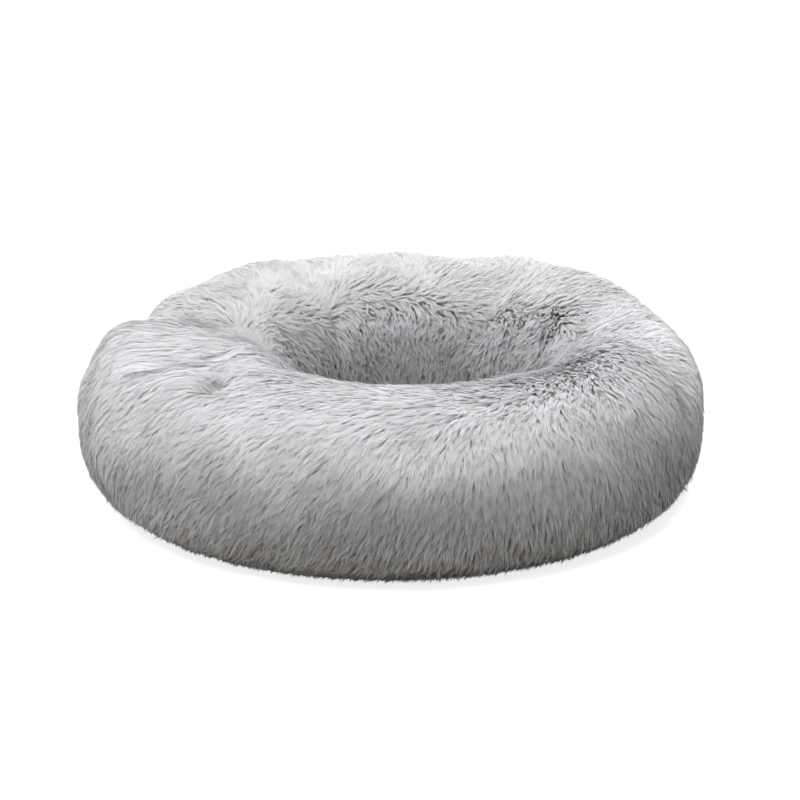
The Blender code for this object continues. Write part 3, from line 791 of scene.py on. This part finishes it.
def make_pile_material():
    """Strands that run from taupe roots to pale cool grey tips; their tone holds painted shade as well as
    random darker tones, and their darker roots are partly the pile's own two tones and partly painted
    shade.
    """
    material, tree, shader = new_material("long_pile", (0.8, 0.8, 0.8), 0.85, 0.25)
    shader.inputs["Sheen Weight"].default_value = 0.12
    shader.inputs["Sheen Roughness"].default_value = 0.5
    place = add_node(tree, "ShaderNodeUVMap", uv_map="OFBake")
    split = add_node(tree, "ShaderNodeSeparateXYZ", {"Vector": place.outputs["UV"]})
    ramp = colour_ramp(tree, split.outputs["Y"], root_to_tip)
    ramp.color_ramp.interpolation = "B_SPLINE"
    darker = maths(tree, "SUBTRACT", 1.0, split.outputs["X"])
    # Tips are lifted towards pale, so painted shade and darker tones fall mostly towards the roots
    lift = maths(tree, "MULTIPLY", maths(tree, "POWER", split.outputs["Y"], 2.5), 0.85)
    lifted = maths(tree, "MULTIPLY_ADD", darker, lift, split.outputs["X"])
    tone_colour = colour_ramp(tree, lifted, shade_and_tone_colours)
    dyed = mixed(tree, 1.0, ramp.outputs["Color"], tone_colour.outputs["Color"], "MULTIPLY")
    tree.links.new(dyed, shader.inputs["Base Color"])
    return material


def make_fibrous_material(name, dark, pale, mask, size, grain, roughness, specular, sheen, relief):
    """Knitted backing, pressed cloth or loose fibre, mottled in fine specks or wide patches."""
    material, tree, shader = new_material(name, pale, roughness, specular)
    shader.inputs["Sheen Weight"].default_value = sheen
    marks = placed(tree, handling, {"Size": size, "Grain": grain})
    colour = mixed(tree, marks[mask], (*dark, 1.0), (*pale, 1.0))
    tree.links.new(colour, shader.inputs["Base Color"])
    tree.links.new(bump(tree, marks["Specks"], relief), shader.inputs["Normal"])
    return material


def make_woven_material(name, dark, pale, pitch, roughness, relief):
    """A woven cloth, rubbed paler in patches, with painted shade darker between its threads."""
    material, tree, shader = new_material(name, pale, roughness, 0.3)
    threads = add_node(tree, "ShaderNodeUVMap", uv_map="threads").outputs["UV"]
    height = placed(tree, plain_weave, {"Threads": threads, "Pitch": pitch})["Height"]
    marks = placed(tree, handling, {"Size": 9.0, "Grain": 240.0})
    # Colour paler on raised threads and darker in the gaps between them: painted shade, with random specks
    raised = maths(tree, "MULTIPLY_ADD", marks["Specks"], 0.35, maths(tree, "MULTIPLY", height, 0.8))
    colour = mixed(tree, raised, (*dark, 1.0), (*pale, 1.0))
    dust = maths(tree, "MULTIPLY", marks["Patches"], 0.22)
    dusty = tuple(0.65 * value + 0.12 for value in pale)
    tree.links.new(mixed(tree, dust, colour, (*dusty, 1.0)), shader.inputs["Base Color"])
    worn = maths(tree, "MULTIPLY_ADD", marks["Patches"], 0.14, roughness - 0.07)
    tree.links.new(worn, shader.inputs["Roughness"])
    tree.links.new(bump(tree, height, relief), shader.inputs["Normal"])
    return material


def make_moulded_material(name, colour, roughness, specular, metallic=0.0):
    """Rubber, plastic or plated metal, with rubbed patches and fine specks."""
    material, tree, shader = new_material(name, colour, roughness, specular, metallic)
    marks = placed(tree, handling, {"Size": 70.0, "Grain": 1600.0})
    darker = tuple(0.78 * value for value in colour)
    tree.links.new(
        mixed(tree, marks["Patches"], (*colour, 1.0), (*darker, 1.0)), shader.inputs["Base Color"]
    )
    rubbed = maths(tree, "MULTIPLY_ADD", marks["Patches"], 0.22, roughness - 0.08)
    tree.links.new(rubbed, shader.inputs["Roughness"])
    tree.links.new(bump(tree, marks["Specks"], 0.00003), shader.inputs["Normal"])
    return material


pile_material = make_pile_material()
backing_material = make_fibrous_material(
    "pile_backing", (0.58, 0.56, 0.535), (0.70, 0.68, 0.65), "Specks", 30.0, 900.0, 0.95, 0.1, 0.0, 0.0004
)
liner_material = make_fibrous_material(
    "liner_cloth", (0.74, 0.74, 0.72), (0.84, 0.84, 0.82), "Specks", 14.0, 700.0, 0.9, 0.2, 0.0, 0.0003
)
fibre_material = make_fibrous_material(
    "fibre", (0.80, 0.80, 0.79), (0.92, 0.92, 0.91), "Patches", 45.0, 400.0, 1.0, 0.1, 0.3, 0.0012
)
base_material = make_woven_material(
    "base_cloth", (0.028, 0.028, 0.030), (0.062, 0.063, 0.067), weave_pitch, 0.72, 0.0002
)
tape_material = make_woven_material(
    "zip_tape", (0.20, 0.20, 0.205), (0.34, 0.34, 0.35), tape_weave_pitch, 0.85, 0.00015
)
thread_material = make_moulded_material("thread", (0.30, 0.30, 0.305), 0.7, 0.3)
rubber_material = make_moulded_material("grip_rubber", (0.022, 0.022, 0.023), 0.75, 0.3)
teeth_material = make_moulded_material("zip_teeth", (0.34, 0.34, 0.35), 0.42, 0.5)
metal_material = make_moulded_material("zip_metal", (0.66, 0.66, 0.67), 0.30, 0.5, 1.0)


# Cloth and stuffing


def grid_mesh(name, places, closed_ring, closed_section, capped=False, threads=None):
    """A mesh over a grid of places, a row for each section round the bed."""
    rows, columns = places.shape[:2]
    index = np.arange(rows * columns).reshape(rows, columns)
    wide = np.vstack([index, index[:1]]) if closed_ring else index
    wide = np.hstack([wide, wide[:, :1]]) if closed_section else wide
    corners = np.stack([wide[:-1, :-1], wide[:-1, 1:], wide[1:, 1:], wide[1:, :-1]], axis=-1)
    faces = corners.reshape(-1, 4).tolist()
    if capped:
        for row in (index[0], index[-1]):
            for at in range(columns // 2 - 1):
                faces.append([row[at], row[at + 1], row[-2 - at], row[-1 - at]])
    mesh = bpy.data.meshes.new(name)
    mesh.from_pydata(places.reshape(-1, 3).tolist(), [], faces)
    if threads is not None:
        layer = mesh.uv_layers.new(name="threads")
        order = np.empty(len(mesh.loops), np.int32)
        mesh.loops.foreach_get("vertex_index", order)
        layer.uv.foreach_set("vector", threads.reshape(-1, 2)[order].astype(np.float32).ravel())
    body = bmesh.new()
    body.from_mesh(mesh)
    bmesh.ops.remove_doubles(body, verts=body.verts, dist=1e-6)
    bmesh.ops.recalc_face_normals(body, faces=body.faces)
    body.to_mesh(mesh)
    body.free()
    mesh.shade_smooth()
    return mesh


def turned(reach, azimuths, z, shift=0.0):
    """Places at a reach and a height, turned about an upright axis."""
    x = shift + reach * np.cos(azimuths)
    return np.stack(np.broadcast_arrays(x, reach * np.sin(azimuths), z), axis=-1)


def make_backing(name, start, end, foot_z, material, replaced):
    """The knitted cloth that the pile is rooted in, with its lower edge turned in to the base."""
    azimuths = np.linspace(start, end, int((end - start) * bed_radius / backing_step) + 1)
    angles = np.linspace(outer_foot_angle, inner_foot_angle, backing_rows)
    grid = np.meshgrid(azimuths, angles, indexing="ij")
    layers = []
    for depth, lift in ((pile_depth, 0.0), (pile_depth + backing_thickness, backing_thickness)):
        surface = bolster(*grid, depth)
        hem = surface[:, :1].copy()
        hem[..., :2] *= (base_radius + band_clearance) / np.hypot(hem[..., 0], hem[..., 1])[..., None]
        hem[..., 2] = foot_z + lift
        nest_foot = surface[:, -1:].copy()
        nest_foot[..., 2] = inner_foot_z
        layers.append(np.concatenate([hem, surface, nest_foot], axis=1))
    places = np.concatenate([layers[0], layers[1][:, ::-1]], axis=1)
    mesh = grid_mesh(name, places, False, True, capped=True)
    piece = add_piece(name, mesh, material, replaced=replaced)


def softened(section, times=2):
    """A closed section with its corners cut, over and over."""
    for _ in range(times):
        after = np.roll(section, -1, axis=1)
        first = 0.75 * section + 0.25 * after
        second = 0.25 * section + 0.75 * after
        section = np.stack([first, second], axis=2).reshape(section.shape[0], -1, 3)
    return section


def make_stuffed_ring(name, node, material, slot, depth, floor_gap, inset, lumps, lump_pitch, number):
    """A closed ring that fills the cover: the liner, or the fibre in it.

    The depth is under the pile's tips, and the inset is from the zip's outer face.
    """
    floor_z = base_top + floor_gap
    outer_limit = tape_radius - inset
    azimuths = np.linspace(0.0, math.tau, stuffed_ring_facets, endpoint=False)
    angles = np.linspace(-0.25, inner_foot_angle, 30)
    grid = np.meshgrid(azimuths, angles, indexing="ij")
    surface = bolster(*grid, depth)
    lumpy = 0.5 + 0.5 * np.clip(waves(surface, lump_pitch, number), -1.0, 1.0)
    surface = bolster(*grid, depth + lumps * lumpy)
    ways = np.stack([np.cos(azimuths), np.sin(azimuths)], axis=1)
    shoulder, corner = np.empty((2, stuffed_ring_facets, 1, 3))
    shoulder[:, 0, :2] = corner[:, 0, :2] = outer_limit * ways
    shoulder[:, 0, 2] = outer_foot_z + depth - pile_depth
    corner[:, 0, 2] = floor_z
    nest_corner = surface[:, -1:].copy()
    nest_corner[..., 2] = floor_z
    section = np.concatenate([corner, shoulder, surface, nest_corner], axis=1)
    mesh = grid_mesh(name, softened(section), True, True)
    piece = add_piece(name, mesh, material, replaced=[node])


def make_pad(name, node, material, slot, low, high, puckers, crown=pad_crown, rounding=pad_rounding):
    """A stuffed round pad with a crown and a puckered edge."""
    radius = (high.x - low.x) / 2
    profile = [(0.0, high.z)]
    profile += [(radius * share, high.z - crown * share**2) for share in (0.2, 0.4, 0.6, 0.75)]
    top = high.z - crown
    profile += [(radius - rounding, top), (radius - 0.3 * rounding, top - 0.3 * rounding)]
    profile += [(radius, top - rounding), (radius, low.z + rounding)]
    profile += [(radius - 0.3 * rounding, low.z + 0.3 * rounding), (radius - rounding, low.z)]
    profile += [(0.0, low.z)]
    out, z = np.array(profile).T
    azimuths = np.linspace(0.0, math.tau, pad_facets, endpoint=False)[:, None]
    edge = ease((out - 0.55 * radius) / (0.45 * radius))[None, :]
    drawn = puckers * (0.5 + 0.5 * np.sin(48 * azimuths + 2.0 * np.sin(5 * azimuths))) * edge
    places = turned(out[None, :] - drawn, azimuths, z, nest_shift)
    mesh = grid_mesh(name, places, True, False)
    piece = add_piece(name, mesh, material, replaced=[node])


def make_strip(name, radius, thickness, low_z, high_z, start, end, edge, material, slot, node):
    """A strip of cloth that stands round the base, its long edges rounded."""
    steps = int((end - start) * radius / strip_step) + 1
    azimuths = np.linspace(start, end, steps)[:, None]
    half = thickness / 2
    heights = np.array([low_z, low_z + edge, low_z + 3 * edge, high_z - 3 * edge, high_z - edge, high_z])
    bulge = np.array([0.55, 1.0, 0.82, 0.82, 1.0, 0.55]) * half
    out = np.concatenate([radius + bulge, (radius - bulge)[::-1]])
    z = np.concatenate([heights, heights[::-1]])
    ripple = ripple_share * half * np.sin(azimuths * radius / ripple_pitch)
    places = turned(out[None, :] + ripple, azimuths, z)
    threads = np.stack(np.broadcast_arrays(azimuths * radius, z[None, :]), axis=-1)
    mesh = grid_mesh(name, places, False, True, capped=True, threads=threads)
    piece = add_piece(name, mesh, material, replaced=[node])


def make_base_sheet():
    """The coated cloth under the bed, drawn flat over the stuffing."""
    radii = np.linspace(0.0, base_radius - 5 * sheet_edge, sheet_rings)
    azimuths = np.linspace(0.0, math.tau, sheet_facets, endpoint=False)[:, None]
    out = np.concatenate([radii, [base_radius, base_radius], radii[::-1]])
    edge = [base_top - sheet_edge, dot_height + sheet_edge]
    z = np.concatenate([np.full(sheet_rings, base_top), edge, np.full(sheet_rings, dot_height)])
    places = turned(out, azimuths, z)
    mesh = grid_mesh("base_sheet", places, True, False, threads=places[..., :2])
    piece = add_piece("base_sheet", mesh, base_material, replaced=["base_cloth"])


def repeated(name, template, faces, frames):
    """One mesh with a copy of a template at each frame, given as origins and three axes."""
    origins, axes = frames
    corners = np.einsum("vc,ncd->nvd", template, axes) + origins[:, None, :]
    bases = range(0, len(origins) * len(template), len(template))
    listed = [[base + corner for corner in face] for base in bases for face in faces]
    mesh = bpy.data.meshes.new(name)
    mesh.from_pydata(corners.reshape(-1, 3).tolist(), [], listed)
    mesh.shade_smooth()
    return mesh


def turned_template(profile, facets):
    """Corners and faces of a closed profile of (radius, z), turned about Z."""
    rings = [(radius, z) for radius, z in profile[1:-1]]
    corners = [(0.0, 0.0, profile[0][1])]
    for radius, z in rings:
        for step in range(facets):
            turn = math.tau * step / facets
            corners.append((radius * math.cos(turn), radius * math.sin(turn), z))
    corners.append((0.0, 0.0, profile[-1][1]))
    faces = []
    for step in range(facets):
        after = (step + 1) % facets
        faces.append([0, 1 + after, 1 + step])
        for ring in range(len(rings) - 1):
            base = 1 + ring * facets
            faces.append([base + step, base + after, base + facets + after, base + facets + step])
        base = 1 + (len(rings) - 1) * facets
        faces.append([base + step, base + after, len(corners) - 1])
    return np.array(corners), faces


def make_grip_dots():
    """Rubber dots printed in a honeycomb on the underside of the base."""
    foot = dot_radius * dot_foot_share
    root_z = dot_height + dot_root
    profile = [(0, 0), (foot * 0.9, 0), (foot, dot_edge)]
    profile += [(dot_radius, dot_height), (dot_radius, root_z), (0, root_z)]
    corners, faces = turned_template(profile, dot_facets)
    rings = int((base_radius - dot_margin) / dot_spacing)
    origins = []
    for column in range(-rings, rings + 1):
        for row in range(-rings, rings + 1):
            if abs(column + row) <= rings:
                x = dot_spacing * (column + row / 2)
                origins.append((x, dot_spacing * row * math.sqrt(3) / 2, 0.0))
    origins = np.array(origins)
    axes = np.broadcast_to(np.eye(3), (len(origins), 3, 3))
    mesh = repeated("grip_dots", corners, faces, (origins, axes))
    mesh.set_sharp_from_angle(angle=math.radians(50))
    add_piece("grip_dots", mesh, rubber_material)


def make_stitches(name, radius, z, start, end, slot):
    """A row of stitches along an arc round the base."""
    half, thick = stitch_length / 2, stitch_width / 2
    profile = [(0, -half), (0.7 * thick, -0.8 * half), (thick, 0), (0.7 * thick, 0.8 * half), (0, half)]
    corners, faces = turned_template(profile, stitch_facets)
    count = int((end - start) * radius / stitch_pitch)
    azimuths = start + (np.arange(count) + 0.5) * (end - start) / count
    cosines, sines, zeros = np.cos(azimuths), np.sin(azimuths), np.zeros(count)
    origins = np.stack([radius * cosines, radius * sines, zeros + z], axis=1)
    outward = np.stack([cosines, sines, zeros], axis=1)
    upward = np.stack([zeros, zeros, zeros + 1], axis=1)
    ahead = np.stack([-sines, cosines, zeros], axis=1)
    mesh = repeated(name, corners, faces, (origins, np.stack([outward, upward, ahead], axis=1)))
    add_piece(name, mesh, thread_material)


front_span = (left_seam, math.tau + right_seam)
rear_span = (right_seam, left_seam)
make_backing("backing_front", *front_span, skirt_z, backing_material, ["bolster_cover_front"])
make_backing("backing_rear", *rear_span, outer_foot_z, backing_material, ["bolster_cover_rear"])
pile = (backing_material, "long_pile")
liner = (liner_material, "liner_cloth")
fibre = (fibre_material, "fibre")
liner_form = {"depth": 0.0195, "floor_gap": 0.0003, "inset": 0.0045, "lumps": 0.0035, "lump_pitch": 0.05}
fibre_form = {"depth": 0.0255, "floor_gap": 0.0020, "inset": 0.0065, "lumps": 0.0060, "lump_pitch": 0.035}
make_stuffed_ring("liner_bolster", "bolster_liner", *liner, number=11, **liner_form)
make_stuffed_ring("fibre_bolster", "bolster_filling", *fibre, number=12, **fibre_form)
backing_low = Vector((seat_low.x, seat_low.y, inner_foot_z))
backing_high = Vector((seat_high.x, seat_high.y, seat_top - pile_depth))
make_pad("backing_seat", "seat_cover", *pile, backing_low, backing_high, 0.0, crown=0.0004, rounding=0.0006)
make_pad("liner_seat", "seat_liner", *liner, liner_low, liner_high, puckers=0.004)
make_pad("fibre_seat", "seat_filling", *fibre, fibre_low, fibre_high, puckers=0.006)
make_base_sheet()
make_grip_dots()

zip_span = (zip_middle - zip_half_sweep, zip_middle + zip_half_sweep)
band_span = (zip_span[1] + strip_gap, zip_span[0] + math.tau - strip_gap)
band_form = (band_radius - band_thickness / 2, band_thickness, band_low.z, band_high.z)
make_strip("band_cloth", *band_form, *band_span, band_edge, base_material, "base_cloth", "base_band")
for side, low_z, high_z in (
    ("lower", tape_low.z, tape_high.z),
    ("upper", upper_tape_low.z, upper_tape_high.z),
):
    tape_form = (tape_radius - tape_thickness / 2, tape_thickness, low_z, high_z)
    tape_name = f"zip_tape_{side}"
    make_strip(f"tape_{side}", *tape_form, *zip_span, tape_edge, tape_material, "zip_tape", tape_name)
seam_radius = tape_radius + stitch_sunk
make_stitches("tape_stitches_lower", seam_radius, tape_low.z + stitch_inset, *zip_span, "zip_tape")
make_stitches("tape_stitches_upper", seam_radius, upper_tape_high.z - stitch_inset, *zip_span, "zip_tape")
hem_radius = band_radius + stitch_sunk
make_stitches("band_stitches", hem_radius, band_high.z - stitch_inset, *band_span, "base_cloth")


def finish_node(name, material, bevel):
    """Gives a carried CAD node its material and softens its edges."""
    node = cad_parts[name]
    for slot in node.material_slots:
        slot.material = material
    rounding = node.modifiers.new("edge_rounding", "BEVEL")
    rounding.width = bevel
    rounding.segments = 2
    rounding.limit_method = "ANGLE"
    rounding.angle_limit = math.radians(35)
    rounding.harden_normals = True


for node_name in ("zip_teeth_lower", "zip_teeth_upper"):
    finish_node(node_name, teeth_material, zip_bevel)
for node_name in ("zip_top_stop_lower", "zip_top_stop_upper", "zip_bottom_stop", "zip_slider"):
    finish_node(node_name, metal_material, zip_bevel)
finish_node("zip_pull_tab", metal_material, tab_bevel)


grow_on_bolster("pile_front", *front_span, 1, pile_material)
grow_on_bolster("pile_rear", *rear_span, 2, pile_material)
grow_on_seat("pile_seat", 3, pile_material)

# Studio


def make_studio():
    """A plain pale floor, a white surround and soft light from above."""
    bpy.ops.mesh.primitive_plane_add(size=studio_size, location=(0.0, 0.0, -floor_drop))
    floor = bpy.context.object
    floor.name = "studio_floor"
    material, tree, shader = new_material("studio_floor", (0.9, 0.9, 0.9), 0.9, 0.0)
    path = add_node(tree, "ShaderNodeLightPath")
    tint = mixed(tree, path.outputs["Is Camera Ray"], floor_unseen, floor_seen)
    tree.links.new(tint, shader.inputs["Base Color"])
    glow = maths(tree, "MULTIPLY", path.outputs["Is Camera Ray"], floor_glow)
    shader.inputs["Emission Color"].default_value = (1.0, 1.0, 1.0, 1.0)
    tree.links.new(glow, shader.inputs["Emission Strength"])
    floor.data.materials.append(material)

    world = bpy.data.worlds.new("studio")
    bpy.context.scene.world = world
    world.use_nodes = True
    tree = world.node_tree
    surround = tree.nodes["Background"]
    surround.inputs["Color"].default_value = (1.0, 1.0, 1.0, 1.0)
    surround.inputs["Strength"].default_value = surround_strength
    seen = add_node(tree, "ShaderNodeBackground", {"Color": (1.0, 1.0, 1.0, 1.0), "Strength": 1.0})
    path = add_node(tree, "ShaderNodeLightPath")
    either = maths(tree, "MAXIMUM", path.outputs["Is Camera Ray"], path.outputs["Is Glossy Ray"])
    choose = add_node(
        tree,
        "ShaderNodeMixShader",
        {0: either, 1: surround.outputs["Background"], 2: seen.outputs["Background"]},
    )
    tree.links.new(choose.outputs["Shader"], tree.nodes["World Output"].inputs["Surface"])

    light = bpy.data.lights.new("overhead", "SUN")
    light.angle = sun_softness
    light.energy = sun_strength
    lamp = bpy.data.objects.new("overhead", light)
    lamp.rotation_euler = sun_tilts
    bpy.context.scene.collection.objects.link(lamp)


def make_camera():
    """The photograph's view, from the front and a little above."""
    data = bpy.data.cameras.new("photo_view")
    data.lens = pixels_per_metre * camera_distance * sensor_width / photo_width
    data.sensor_width = sensor_width
    data.clip_start = 0.1
    data.clip_end = 50.0
    camera = bpy.data.objects.new("photo_view", data)
    away = Vector((0.0, -math.cos(camera_elevation), math.sin(camera_elevation)))
    upward = Vector((0.0, math.sin(camera_elevation), math.cos(camera_elevation)))
    right = (photo_width / 2 - bed_centre_pixel[0]) / pixels_per_metre
    up = (bed_centre_pixel[1] - photo_width / 2) / pixels_per_metre
    camera.location = Vector((right, 0.0, 0.0)) + up * upward + camera_distance * away
    camera.rotation_euler = (-away).to_track_quat("-Z", "Y").to_euler()
    bpy.context.scene.collection.objects.link(camera)
    bpy.context.scene.camera = camera


make_studio()
make_camera()
bpy.context.scene.view_settings.view_transform = "Standard"
